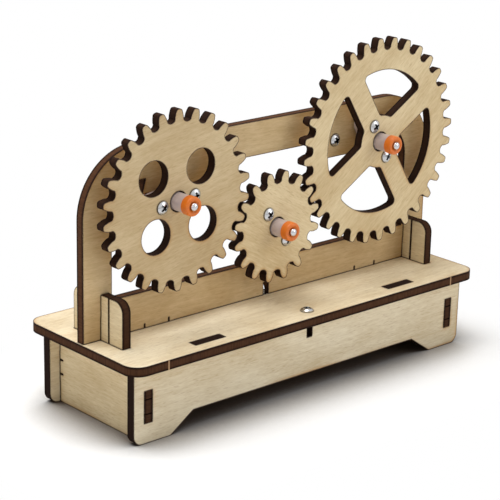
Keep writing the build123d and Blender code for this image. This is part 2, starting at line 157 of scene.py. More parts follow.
# ---------------------------------------------------------------- wood
def plywood(name, node, through, along, pale, core_share, turn=0.0, bare_marks=()):
    """Laser-cut birch plywood for one board: through is the axis across its thickness and along
    the axis of the face grain.  Faces are pale sanded veneer with short flecks and soft mottling,
    cut sides are burnt nearly black with a browner middle layer, as strong as core_share, and a
    thin scorched line follows each cut.  Each joint, and each edge that stands on the floor, gets
    a dark line that is partly burnt wood and partly painted contact shade."""
    wood = bpy.context.scene.gear_toy_wood
    low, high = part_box(node)
    middle = (low + high) / 2
    axes = "XYZ"
    across = next(a for a in axes if a not in (through, along))
    material, tree = new_material(name)
    place = add(tree, "ShaderNodeTexCoord")
    # millimetres from the board's middle, turned so that the grain of a gear can lie at an angle
    centred = add(tree, "ShaderNodeVectorMath", {0: place.outputs["Object"], 1: tuple(middle)},
                  operation="SUBTRACT")
    scaled = add(tree, "ShaderNodeVectorMath", {0: centred.outputs[0], "Scale": 1000.0},
                 operation="SCALE")
    spin = [0.0, 0.0, 0.0]
    spin[axes.index(through)] = turn
    lying = add(tree, "ShaderNodeMapping", {"Vector": scaled.outputs[0], "Rotation": spin})
    part = add(tree, "ShaderNodeSeparateXYZ", {0: lying.outputs[0]})
    run, side, depth = (part.outputs[a] for a in (along, across, through))

    def along_grain(run_scale, side_scale, depth_scale, **settings):
        """Pattern drawn out along the grain, with its waves per millimetre along each way."""
        stretched = [add(tree, "ShaderNodeMath", {0: value, 1: scale}, operation="MULTIPLY")
                     for value, scale in ((run, run_scale), (side, side_scale), (depth, depth_scale))]
        vector = add(tree, "ShaderNodeCombineXYZ", {i: s.outputs[0] for i, s in enumerate(stretched)})
        return add(tree, "ShaderNodeTexNoise", {"Vector": vector.outputs[0], "Scale": 1.0, **settings})

    # flecks 0.4 mm wide and 3 mm long, drawn coarser than real so that they show
    fleck = along_grain(0.35, 2.4, 0.6, Detail=3.0, Roughness=0.6)
    # fibres 15 mm long
    fibre = along_grain(0.07, 1.1, 0.3, Detail=2.0)
    # soft mottling some 12 mm across and cloudier patches of 40 mm
    mottle = along_grain(0.06, 0.11, 0.05, Detail=2.0, Distortion=0.6)
    cloud = along_grain(0.02, 0.03, 0.02, Detail=1.0)
    grain = add(tree, "ShaderNodeMath", {0: fleck.outputs[0], 1: 0.30}, operation="MULTIPLY")
    for layer, weight in ((fibre, 0.22), (mottle, 0.30), (cloud, 0.35)):
        grain = add(tree, "ShaderNodeMath", {0: layer.outputs[0], 1: weight, 2: grain.outputs[0]},
                    operation="MULTIPLY_ADD")
    shade = add(tree, "ShaderNodeMapRange", {"Value": grain.outputs[0], "From Min": 0.46,
                                             "From Max": 0.74})
    pale_colour = linear(pale)
    # the late wood is browner: red keeps most of its light and blue least
    dark_colour = tuple(c * keep for c, keep in zip(pale_colour, (0.72, 0.64, 0.52, 1.0)))
    face = add(tree, "ShaderNodeMix", {"Factor": shade.outputs[0], "A": pale_colour,
                                           "B": dark_colour}, data_type="RGBA")
    # short dark pores
    pore = along_grain(0.5, 4.5, 1.0, Detail=0.0)
    pore_mask = add(tree, "ShaderNodeMapRange", {"Value": pore.outputs[0], "From Min": 0.68,
                                                 "From Max": 0.78, "To Max": 0.3})
    face = add(tree, "ShaderNodeMix", {"Factor": pore_mask.outputs[0], "A": face.outputs["Result"],
                                           "B": linear("9A7444")}, data_type="RGBA")

    surface = add(tree, "ShaderNodeNewGeometry")

    def beside_cut(width, start, full):
        """Grows beside a cut, the only place where a rounding this wide would bend the surface."""
        rounded = add(tree, "ShaderNodeBevel", {"Radius": width}, samples=8)
        same = add(tree, "ShaderNodeVectorMath", {0: rounded.outputs[0],
                                                  1: surface.outputs["True Normal"]},
                   operation="DOT_PRODUCT")
        return add(tree, "ShaderNodeMapRange", {"Value": same.outputs["Value"], "From Min": start,
                                                "From Max": full})

    # amber smoke reaches 2.5 mm from the cut in patches
    smoke_patch = add(tree, "ShaderNodeMapRange", {"Value": cloud.outputs[0], "From Min": 0.5,
                                                   "From Max": 0.68})
    smoke = add(tree, "ShaderNodeMath", {0: beside_cut(2.5 * MM, 0.998, 0.85).outputs[0],
                                         1: smoke_patch.outputs[0]}, operation="MULTIPLY")
    smoke = add(tree, "ShaderNodeMath", {0: smoke.outputs[0], 1: 0.75}, operation="MULTIPLY")
    face = add(tree, "ShaderNodeMix", {"Factor": smoke.outputs[0], "A": face.outputs["Result"],
                                           "B": linear("B98645")}, data_type="RGBA")
    line = add(tree, "ShaderNodeMath", {0: beside_cut(wood.scorch_width, 0.9995, 0.95).outputs[0],
                                        1: 0.95}, operation="MULTIPLY")
    face = add(tree, "ShaderNodeMix", {"Factor": line.outputs[0], "A": face.outputs["Result"],
                                           "B": linear(wood.scorch)}, data_type="RGBA")

    # cut sides: strokes of the laser through the thickness over the browner middle layer
    stroke = along_grain(2.2, 2.2, 0.25, Detail=2.0)
    layer = add(tree, "ShaderNodeMath", {0: depth}, operation="ABSOLUTE")
    core = add(tree, "ShaderNodeMapRange", {"Value": layer.outputs[0], "From Min": 1.25,
                                            "From Max": 0.6, "To Max": core_share})
    burn = add(tree, "ShaderNodeMapRange", {"Value": stroke.outputs[0], "From Min": 0.3,
                                            "From Max": 0.7, "To Min": 0.55, "To Max": 1.0})
    burn = add(tree, "ShaderNodeMath", {0: burn.outputs[0], 1: core.outputs[0]}, operation="MULTIPLY")
    char = add(tree, "ShaderNodeMix", {"Factor": burn.outputs[0], "A": linear(wood.char_dark),
                                           "B": linear(wood.char_brown)}, data_type="RGBA")
    for axis, place_mm, half_mm in bare_marks:
        away = add(tree, "ShaderNodeMath", {0: part.outputs[axis], 1: place_mm}, operation="SUBTRACT")
        away = add(tree, "ShaderNodeMath", {0: away.outputs[0]}, operation="ABSOLUTE")
        mark = add(tree, "ShaderNodeMapRange", {"Value": away.outputs[0], "From Min": half_mm,
                                                "From Max": half_mm * 0.4, "To Max": 0.75})
        char = add(tree, "ShaderNodeMix", {"Factor": mark.outputs[0], "A": char.outputs["Result"],
                                               "B": linear("C09A74")}, data_type="RGBA")

    facing = add(tree, "ShaderNodeSeparateXYZ", {0: surface.outputs["True Normal"]})
    flat = add(tree, "ShaderNodeMath", {0: facing.outputs[through]}, operation="ABSOLUTE")
    is_face = add(tree, "ShaderNodeMath", {0: flat.outputs[0], 1: 0.7}, operation="GREATER_THAN")
    colour = add(tree, "ShaderNodeMix", {"Factor": is_face.outputs[0], "A": char.outputs["Result"],
                                             "B": face.outputs["Result"]}, data_type="RGBA")
    # burnt wood of the neighbour and painted contact shade: the colour darkens to 22130C in every inside corner,
    # along each joint and where a board stands on the floor
    joint_and_contact_shade = add(tree, "ShaderNodeAmbientOcclusion", {"Distance": wood.joint_and_shade_width}, samples=8)
    joint = add(tree, "ShaderNodeMapRange", {"Value": joint_and_contact_shade.outputs["AO"], "From Min": 0.92,
                                             "From Max": 0.6, "To Max": 0.85})
    colour = add(tree, "ShaderNodeMix", {"Factor": joint.outputs[0], "A": colour.outputs["Result"],
                                             "B": linear("22130C")}, data_type="RGBA")
    dull = add(tree, "ShaderNodeMapRange", {"Value": is_face.outputs[0], "To Min": 0.85,
                                            "To Max": 0.62})
    gloss = add(tree, "ShaderNodeMapRange", {"Value": is_face.outputs[0], "To Min": 0.08,
                                             "To Max": 0.3})
    relief = add(tree, "ShaderNodeBump", {"Height": fleck.outputs[0], "Strength": 0.2,
                                          "Distance": 0.05 * MM})
    shader = add(tree, "ShaderNodeBsdfPrincipled", {
        "Base Color": colour.outputs["Result"], "Roughness": dull.outputs[0],
        "Normal": relief.outputs[0], "IOR": 1.5, "Specular IOR Level": gloss.outputs[0]})
    finish_material(tree, shader)
    return material


def set_material(obj, material):
    obj.data.materials.clear()
    obj.data.materials.append(material)


# ---------------------------------------------------------------- plastic, metal, turned wood
def moulded_nylon():
    """Moulded natural nylon: greyish lilac, slightly translucent, satin, with faint cloudiness."""
    look = bpy.context.scene.gear_toy_hardware
    material, tree = new_material("moulded_nylon")
    place = add(tree, "ShaderNodeTexCoord")
    cloud = add(tree, "ShaderNodeTexNoise", {"Vector": place.outputs["Object"], "Scale": 350.0,
                                             "Detail": 2.0})
    tint = add(tree, "ShaderNodeMix", {"Factor": cloud.outputs[0], "A": linear(look.hub),
                                       "B": linear("A99A9E")}, data_type="RGBA")
    # flow marks about 0.3 mm apart
    grain = add(tree, "ShaderNodeTexNoise", {"Vector": place.outputs["Object"], "Scale": 3000.0})
    relief = add(tree, "ShaderNodeBump", {"Height": grain.outputs[0], "Strength": 0.08,
                                          "Distance": 0.03 * MM})
    shader = add(tree, "ShaderNodeBsdfPrincipled", {
        "Base Color": tint.outputs["Result"], "Roughness": 0.42, "Normal": relief.outputs[0],
        "IOR": 1.53, "Subsurface Weight": 0.12, "Subsurface Radius": (1.0, 0.8, 0.8),
        "Subsurface Scale": 0.8 * MM})
    finish_material(tree, shader)
    return material


def moulded_orange():
    """Moulded orange polyethylene: saturated, satin, with soft broad highlights."""
    look = bpy.context.scene.gear_toy_hardware
    material, tree = new_material("moulded_orange_polyethylene")
    place = add(tree, "ShaderNodeTexCoord")
    cloud = add(tree, "ShaderNodeTexNoise", {"Vector": place.outputs["Object"], "Scale": 500.0,
                                             "Detail": 2.0})
    tint = add(tree, "ShaderNodeMix", {"Factor": cloud.outputs[0], "A": linear(look.stop),
                                       "B": linear("CE6207")}, data_type="RGBA")
    relief = add(tree, "ShaderNodeBump", {"Height": cloud.outputs[0], "Strength": 0.1,
                                          "Distance": 0.03 * MM})
    shader = add(tree, "ShaderNodeBsdfPrincipled", {
        "Base Color": tint.outputs["Result"], "Roughness": 0.38, "Normal": relief.outputs[0],
        "IOR": 1.51})
    finish_material(tree, shader)
    return material


def metal(name, colour, roughness, stripe, recess):
    """Bare metal with fine lines: stripe is their spacing in millimetres.  Hollows narrower than
    recess millimetres get painted shade: their colour goes dark."""
    material, tree = new_material(name)
    place = add(tree, "ShaderNodeTexCoord")
    line = add(tree, "ShaderNodeTexNoise", {"Vector": place.outputs["Object"],
                                            "Scale": 1000.0 / stripe, "Detail": 2.0})
    wear = add(tree, "ShaderNodeMapRange", {"Value": line.outputs[0], "To Min": roughness * 0.75,
                                            "To Max": roughness * 1.25})
    shade = add(tree, "ShaderNodeMix", {"Factor": line.outputs[0], "A": linear(colour),
                                        "B": linear("9A9A9C")}, data_type="RGBA")
    if recess:
        # painted shade: narrow hollows, such as a screw's cross recess, are coloured dark where light barely
        # reaches
        recess_shade = add(tree, "ShaderNodeAmbientOcclusion", {"Distance": recess * MM}, samples=8,
                     only_local=True)
        depth = add(tree, "ShaderNodeMapRange", {"Value": recess_shade.outputs["AO"], "From Min": 0.8,
                                                 "From Max": 0.55, "To Max": 0.97})
        shade = add(tree, "ShaderNodeMix", {"Factor": depth.outputs[0], "A": shade.outputs["Result"],
                                            "B": linear("141416")}, data_type="RGBA")
    relief = add(tree, "ShaderNodeBump", {"Height": line.outputs[0], "Strength": 0.05,
                                          "Distance": 0.02 * MM})
    shader = add(tree, "ShaderNodeBsdfPrincipled", {
        "Base Color": shade.outputs["Result"], "Metallic": 1.0, "Roughness": wear.outputs[0],
        "Normal": relief.outputs[0]})
    finish_material(tree, shader)
    return material


def turned_beech():
    """Turned beech with a thin oil finish: warm pinkish tan with short darker flecks."""
    look = bpy.context.scene.gear_toy_hardware
    material, tree = new_material("turned_beech")
    place = add(tree, "ShaderNodeTexCoord")
    long_way = add(tree, "ShaderNodeMapping", {"Vector": place.outputs["Object"],
                                               "Scale": (1800.0, 90.0, 1800.0)})
    fleck = add(tree, "ShaderNodeTexNoise", {"Vector": long_way.outputs[0], "Scale": 1.0,
                                             "Detail": 3.0})
    mask = add(tree, "ShaderNodeMapRange", {"Value": fleck.outputs[0], "From Min": 0.4,
                                            "From Max": 0.75})
    tint = add(tree, "ShaderNodeMix", {"Factor": mask.outputs[0], "A": linear(look.knob),
                                       "B": linear("A97F4E")}, data_type="RGBA")
    relief = add(tree, "ShaderNodeBump", {"Height": fleck.outputs[0], "Strength": 0.15,
                                          "Distance": 0.05 * MM})
    shader = add(tree, "ShaderNodeBsdfPrincipled", {
        "Base Color": tint.outputs["Result"], "Roughness": 0.45, "Normal": relief.outputs[0],
        "IOR": 1.5})
    finish_material(tree, shader)
    return material


MATERIALS = {}


def material_once(key, maker, *settings):
    """The finish under this name, made the first time that it is asked for."""
    if key not in MATERIALS:
        MATERIALS[key] = maker(*settings)
    return MATERIALS[key]


# ---------------------------------------------------------------- modelling
def only(obj):
    """Deselects everything and makes this the one selected and active object."""
    bpy.ops.object.select_all(action="DESELECT")
    obj.select_set(True)
    bpy.context.view_layer.objects.active = obj


def apply_modifier(obj, kind, **settings):
    """Applies a modifier, which has to change the mesh."""
    before = len(obj.data.polygons)
    modifier = obj.modifiers.new(kind.lower(), kind)
    for key, value in settings.items():
        setattr(modifier, key, value)
    only(obj)
    bpy.ops.object.modifier_apply(modifier=modifier.name)
    if len(obj.data.polygons) == before:
        raise RuntimeError(f"{kind} left {obj.name} unchanged")


def pick(obj, wanted):
    """Selects the points of a mesh that pass a test, and leaves it in edit mode."""
    only(obj)
    bpy.ops.object.mode_set(mode="EDIT")
    bpy.ops.mesh.select_all(action="DESELECT")
    bpy.ops.object.mode_set(mode="OBJECT")
    for vertex in obj.data.vertices:
        vertex.select = wanted(vertex.co)
    bpy.ops.object.mode_set(mode="EDIT")


def turned(name, profile, steps=56):
    """Turns a closed profile of (radius, height) points round the Y axis."""
    bpy.ops.object.select_all(action="DESELECT")
    bpy.ops.mesh.primitive_plane_add(size=MM)
    obj = bpy.context.object
    obj.name = name
    bpy.ops.object.mode_set(mode="EDIT")
    bpy.ops.mesh.select_all(action="SELECT")
    bpy.ops.mesh.merge(type="CENTER")
    here = (0.0, 0.0)
    for number, (radius, height) in enumerate(profile):
        step = (radius - here[0], height - here[1], 0.0)
        if number == 0:
            bpy.ops.transform.translate(value=step)
        else:
            bpy.ops.mesh.extrude_region_move(TRANSFORM_OT_translate={"value": step})
        here = (radius, height)
    bpy.ops.mesh.select_all(action="SELECT")
    bpy.ops.mesh.edge_face_add()
    bpy.ops.mesh.delete(type="ONLY_FACE")
    bpy.ops.mesh.select_all(action="SELECT")
    bpy.ops.mesh.spin(steps=steps, angle=2 * math.pi, center=(0, 0, 0), axis=(0, 1, 0))
    bpy.ops.mesh.select_all(action="SELECT")
    bpy.ops.mesh.remove_doubles(threshold=1e-6)
    bpy.ops.mesh.delete_loose(use_verts=True, use_edges=True, use_faces=False)
    bpy.ops.mesh.select_all(action="SELECT")
    bpy.ops.mesh.normals_make_consistent(inside=False)
    bpy.ops.object.mode_set(mode="OBJECT")
    return obj


def arc(centre, radius, start, end, count):
    """Points of an arc in a profile, with angles in degrees from +radius towards +height."""
    angles = [math.radians(start + (end - start) * i / count) for i in range(count + 1)]
    return [(centre[0] + radius * math.cos(a), centre[1] + radius * math.sin(a)) for a in angles]


def placed_copy(obj, name, matrix):
    """Copy with its own mesh, moved in its mesh so that the object stays at the origin."""
    copy = obj.copy()
    copy.data = obj.data.copy()
    copy.name = name
    bpy.context.collection.objects.link(copy)
    copy.data.transform(matrix)
    return copy


def dress(obj, node, material):
    """Gives a new piece its finish and puts it in the place of its node."""
    if not obj.data.polygons:
        raise RuntimeError(f"{obj.name} has no faces")
    set_material(obj, material)
    only(obj)
    bpy.ops.object.shade_smooth_by_angle(angle=math.radians(35))
    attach(obj, BODY_OF[node])
    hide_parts(node)


def node_axis(node):
    """Middle of a round node in X and Z, and its ends along Y."""
    low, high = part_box(node)
    return (low.x + high.x) / 2, (low.z + high.z) / 2, low.y, high.y


def nodes_ending(ending):
    """Nodes of one kind, which share the end of their name."""
    found = [node for node in frame["nodes"] if node.endswith(ending)]
    if not found:
        raise RuntimeError(f"no node ends with {ending}")
    return found


# ---------------------------------------------------------------- operators
# axis through the thickness, axis of the grain, veneer, strength of the brown core, turn
BOARDS = {
    "top_plate": ("Z", "X", "plate", 0.55, 0.0),
    "front_apron": ("Y", "X", "wall", 0.03, 0.0),
    "back_apron": ("Y", "X", "wall", 0.03, 0.0),
    "left_side_panel": ("X", "Y", "panel", 0.4, 0.0),
    "right_side_panel": ("X", "Y", "panel", 0.4, 0.0),
    "upright_frame": ("Y", "X", "frame", 0.75, 0.0),
    "rear_bearing_plate": ("Y", "X", "frame", 0.5, 0.0),
    "crank_arm": ("Y", "X", "gear", 0.4, math.radians(-20)),
}
GEARS = {
    "left_gear": ("Y", "X", "gear", 0.15, math.radians(12)),
    "idler_gear": ("Y", "X", "pale_gear", 0.15, math.radians(-30)),
    "drive_gear": ("Y", "X", "pale_gear", 0.15, math.radians(40)),
}


def finish_boards(boards):
    """Gives each board of a table its own plywood."""
    wood = bpy.context.scene.gear_toy_wood
    for node, (through, along, veneer, core_share, turn) in boards.items():
        # small bridges held the plate in its sheet, and broke off pale
        marks = [("X", -60.2, 0.35), ("X", 60.2, 0.35)] if node == "top_plate" else []
        material = plywood(f"birch_plywood_{node}", node, through, along, getattr(wood, veneer),
                           core_share, turn, marks)
        set_material(frame["nodes"][node], material)


class GEARTOY_OT_boards(bpy.types.Operator):
    """Finish the boards of the base, the frame, the bearing plate and the crank"""
    bl_idname = "geartoy.boards"
    bl_label = "Finish plywood boards"

    def execute(self, context):
        finish_boards(BOARDS)
        return {"FINISHED"}


class GEARTOY_OT_gears(bpy.types.Operator):
    """Finish the three plywood gears"""
    bl_idname = "geartoy.gears"
    bl_label = "Finish gears"

    def execute(self, context):
        finish_boards(GEARS)
        return {"FINISHED"}


class GEARTOY_OT_hubs(bpy.types.Operator):
    """Model the moulded hubs: an oblong flange with a boss through the gear"""
    bl_idname = "geartoy.hubs"
    bl_label = "Model hubs"

    def execute(self, context):
        nylon = material_once("nylon", moulded_nylon)
        flange, boss, length, screw_hole = 3.0 * MM, 2.8 * MM, 10.4 * MM, 1.02 * MM
        bpy.ops.object.select_all(action="DESELECT")
        bpy.ops.mesh.primitive_cylinder_add(vertices=64, radius=3.3 * MM, depth=flange,
                                            rotation=(math.pi / 2, 0, 0))
        body = bpy.context.object
        bpy.ops.object.transform_apply(location=False, rotation=True, scale=False)
        for side in (-1, 1):
            pick(body, lambda point: side * point.x > 0.01 * MM)
            bpy.ops.transform.translate(value=(side * SCREW_REACH, 0, 0))
            bpy.ops.object.mode_set(mode="OBJECT")
        # the flange's far face is at Y = 0 and the boss points to -Y
        body.data.transform(Matrix.Translation((0, -flange / 2, 0)))
        cutters = []
        for radius, start, end, x in ((boss, 0.0, -length, 0.0), (TIGHT_BORE, MM, -length - MM, 0.0),
                                      (screw_hole, MM, -flange - MM, SCREW_REACH),
                                      (screw_hole, MM, -flange - MM, -SCREW_REACH)):
            bpy.ops.object.select_all(action="DESELECT")
            bpy.ops.mesh.primitive_cylinder_add(vertices=48, radius=radius, depth=start - end,
                                                location=(x, (start + end) / 2, 0),
                                                rotation=(math.pi / 2, 0, 0))
            bpy.ops.object.transform_apply(location=True, rotation=True, scale=False)
            cutters.append(bpy.context.object)
        for number, cutter in enumerate(cutters):
            apply_modifier(body, "BOOLEAN", object=cutter, solver="EXACT",
                           operation="UNION" if number == 0 else "DIFFERENCE")
        apply_modifier(body, "BEVEL", width=0.22 * MM, segments=3, limit_method="ANGLE",
                       angle_limit=math.radians(50))
        for node, (_, turn) in HUBS.items():
            x, z, low, high = node_axis(node)
            backwards = node == "crank_hub"
            # a turn about Y of -angle lifts +X towards +Z
            matrix = Matrix.Rotation(-math.radians(turn), 4, "Y")
            if backwards:
                matrix = matrix @ Matrix.Rotation(math.pi, 4, "Z")
            matrix = Matrix.Translation((x, low if backwards else high, z)) @ matrix
            dress(placed_copy(body, f"{node}_moulding", matrix), node, nylon)
        for spare in (body, *cutters):
            bpy.data.objects.remove(spare)
        return {"FINISHED"}


class GEARTOY_OT_stops(bpy.types.Operator):
    """Model the orange stops on the axle ends"""
    bl_idname = "geartoy.stops"
    bl_label = "Model stops"

    def execute(self, context):
        orange = material_once("orange", moulded_orange)
        outer, bore, length, edge = 3.0 * MM, TIGHT_BORE, 2.8 * MM, 0.6 * MM
        # a ring whose outer end, at +Y, is well rounded and has a countersink round its bore
        profile = [(bore, 0.0), (outer - 0.15 * MM, 0.0), (outer, 0.15 * MM)]
        profile += arc((outer - edge, length - edge), edge, 0, 90, 8)
        profile += [(bore + 0.75 * MM, length), (bore, length - 0.6 * MM)]
        model = turned("stop", profile)
        for node in nodes_ending("_cap"):
            x, z, low, high = node_axis(node)
            if "front" in node:
                matrix = Matrix.Translation((x, high, z)) @ Matrix.Rotation(math.pi, 4, "X")
            else:
                matrix = Matrix.Translation((x, low, z))
            dress(placed_copy(model, f"{node}_moulding", matrix), node, orange)
        bpy.data.objects.remove(model)
        return {"FINISHED"}


class GEARTOY_OT_bushes(bpy.types.Operator):
    """Model the flanged bushes in the boards"""
    bl_idname = "geartoy.bushes"
    bl_label = "Model bushes"

    def execute(self, context):
        nylon = material_once("nylon", moulded_nylon)
        bore, sleeve, rim, flange, depth = RUNNING_BORE, 2.25 * MM, 3.6 * MM, 0.7 * MM, 3.0 * MM
        profile = [(bore, -depth), (sleeve - 0.2 * MM, -depth), (sleeve, -depth + 0.2 * MM),
                   (sleeve, 0.0), (rim, 0.0), (rim, flange - 0.25 * MM)]
        profile += arc((rim - 0.25 * MM, flange - 0.25 * MM), 0.25 * MM, 0, 90, 4)[1:]
        profile += [(bore + 0.2 * MM, flange), (bore, flange - 0.2 * MM)]
        model = turned("bush", profile)
        for node in nodes_ending("_bush"):
            x, z, low, high = node_axis(node)
            if "rear" in node:
                matrix = Matrix.Translation((x, high - flange, z))
            else:
                matrix = Matrix.Translation((x, low + flange, z)) @ Matrix.Rotation(math.pi, 4, "X")
            dress(placed_copy(model, f"{node}_moulding", matrix), node, nylon)
        bpy.data.objects.remove(model)
        return {"FINISHED"}


class GEARTOY_OT_axles(bpy.types.Operator):
    """Model the steel axles and the crank pin"""
    bl_idname = "geartoy.axles"
    bl_label = "Model axles"

    def execute(self, context):
        look = context.scene.gear_toy_hardware
        steel = material_once("steel", metal, "drawn_steel", look.steel, 0.13, 0.08, 0.0)
        radius, dome = 1.25 * MM, 0.8 * MM
        for node in ("left_axle", "idler_axle", "drive_axle", "knob_pin"):
            x, z, low, high = node_axis(node)
            far = [(radius * math.cos(a), high - dome + dome * math.sin(a))
                   for a in (math.radians(t) for t in range(0, 91, 10))]
            if node == "knob_pin":
                head = 2.2 * MM
                near = [(0.0, low), (head - 0.25 * MM, low), (head, low + 0.25 * MM),
                        (head, low + 0.8 * MM), (radius, low + 0.8 * MM)]
            else:
                near = [(radius * math.cos(a), low + dome + dome * math.sin(a))
                        for a in (math.radians(t) for t in range(-90, 1, 10))]
            near[0] = (0.0, low)
            far[-1] = (0.0, high)
            rod = turned(f"{node}_bar", near + far)
            rod.data.transform(Matrix.Translation((x, 0, z)))
            dress(rod, node, steel)
        return {"FINISHED"}


class GEARTOY_OT_knob(bpy.types.Operator):
    """Model the turned knob of the crank"""
    bl_idname = "geartoy.knob"
    bl_label = "Model knob"

    def execute(self, context):
        x, z, low, high = node_axis("crank_knob")
        bore, wide, narrow = RUNNING_BORE, 4.5 * MM, 3.7 * MM
        length = high - low
        # barrel that swells towards its free end, with two turned grooves
        profile = [(bore, low), (narrow - 0.6 * MM, low)]
        profile += [(narrow - 0.6 * MM + 0.6 * MM * math.sin(a), low + 0.6 * MM * (1 - math.cos(a)))
                    for a in (math.radians(t) for t in (30, 60, 90))]
        for step in range(1, 25):
            share = step / 24
            radius = narrow + (wide - narrow) * math.sin(math.pi / 2 * share) ** 1.3
            if step in (5, 20):
                radius -= 0.3 * MM
            profile.append((radius, low + 0.6 * MM + (length - 2.6 * MM) * share))
        profile += arc((wide - 2.0 * MM, high - 2.0 * MM), 2.0 * MM, 0, 90, 8)[1:]
        profile += [(bore + 0.2 * MM, high), (bore, high - 0.2 * MM)]
        knob = turned("crank_knob_turning", profile)
        knob.data.transform(Matrix.Translation((x, 0, z)))
        dress(knob, "crank_knob", material_once("beech", turned_beech))
        return {"FINISHED"}


class GEARTOY_OT_screws(bpy.types.Operator):
    """Model the cross-head screws"""
    bl_idname = "geartoy.screws"
    bl_label = "Model screws"

    def execute(self, context):
        look = context.scene.gear_toy_hardware
        # the last number is the width in millimetres of the hollows that get painted shade
        zinc = material_once("zinc", metal, "zinc_plated_steel", look.zinc, 0.24, 0.15, 0.9)
        head, height, rim = 2.0 * MM, 1.2 * MM, 0.45 * MM
        crest, root, length, pitch = 1.0 * MM, 0.74 * MM, 6.0 * MM, 0.7 * MM
        dome = height - rim
        dome_radius = (head ** 2 + dome ** 2) / (2 * dome)
        # head on +Y of its seat at Y = 0, thread rings down the shank to a blunt point
        profile = [(0.0, -length), (0.3 * MM, -length)]
        turns = int((length - 1.2 * MM) / pitch)
        for turn in range(turns):
            at = -length + 1.2 * MM + turn * pitch
            profile += [(root, at), (crest, at + 0.3 * pitch), (root, at + 0.6 * pitch)]
        profile += [(root, 0.0), (head - 0.1 * MM, 0.0), (head, 0.1 * MM), (head, rim)]
        limit = math.degrees(math.asin(head / dome_radius))
        top = arc((0.0, height - dome_radius), dome_radius, 90 - limit, 90, 8)
        top[-1] = (0.0, height)
        profile += top[1:]
        screw = turned("screw", profile, 40)
        slot_size = (3.9, 2.0, 1.0)   # length, depth and width in millimetres
        for turn in (0.0, math.pi / 2):
            bpy.ops.object.select_all(action="DESELECT")
            bpy.ops.mesh.primitive_cube_add(size=MM)
            slot = bpy.context.object
            slot.data.transform(Matrix.Diagonal((*slot_size, 1.0)))
            # the recess narrows downwards, so its lower face is scaled in
            pick(slot, lambda point: point.y < 0)
            bpy.ops.transform.resize(value=(0.4, 1.0, 0.6), center_override=(0, 0, 0))
            bpy.ops.object.mode_set(mode="OBJECT")
            slot.data.transform(Matrix.Translation((0, height + 0.05 * MM, 0))
                                @ Matrix.Rotation(turn, 4, "Y"))
            apply_modifier(screw, "BOOLEAN", object=slot, solver="EXACT", operation="DIFFERENCE")
            bpy.data.objects.remove(slot)
        to_front = Matrix.Rotation(math.pi, 4, "X")
        places = {}
        for hub, (joint, turn) in HUBS.items():
            node = f"{hub}_screws"
            low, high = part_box(node)
            seat, facing = low.y + height, to_front
            if hub == "crank_hub":
                seat, facing = high.y - height, Matrix.Identity(4)
            axis = JOINT_AT[joint]
            places[node] = []
            for number, half in enumerate((0, 180)):
                angle = math.radians(turn + half)
                at = (axis.x + SCREW_REACH * math.cos(angle), seat,
                      axis.z + SCREW_REACH * math.sin(angle))
                places[node].append((at, facing, turn + 35 * number))
        low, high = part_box("bearing_plate_screws")
        places["bearing_plate_screws"] = [
            ((x, low.y + height, (low.z + high.z) / 2), to_front, 25 + 40 * n)
            for n, x in enumerate((low.x + head, high.x - head))]
        low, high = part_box("base_screws")
        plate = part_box("top_plate")
        upward, downward = Matrix.Rotation(math.pi / 2, 4, "X"), Matrix.Rotation(-math.pi / 2, 4, "X")
        middle = (low.x + high.x) / 2
        places["base_screws"] = [
            ((middle, low.y + head, plate[1].z), upward, 30),
            ((middle, high.y - head, plate[1].z), upward, 75),
            ((middle, (low.y + high.y) / 2, plate[0].z), downward, 10)]
        for node, spots in places.items():
            copies = []
            for at, facing, turn in spots:
                matrix = (Matrix.Translation(at) @ facing
                          @ Matrix.Rotation(math.radians(turn), 4, "Y"))
                copies.append(placed_copy(screw, f"{node}_turned", matrix))
            bpy.ops.object.select_all(action="DESELECT")
            for copy in copies:
                copy.select_set(True)
            bpy.context.view_layer.objects.active = copies[0]
            bpy.ops.object.join()
            dress(copies[0], node, zinc)
        bpy.data.objects.remove(screw)
        return {"FINISHED"}


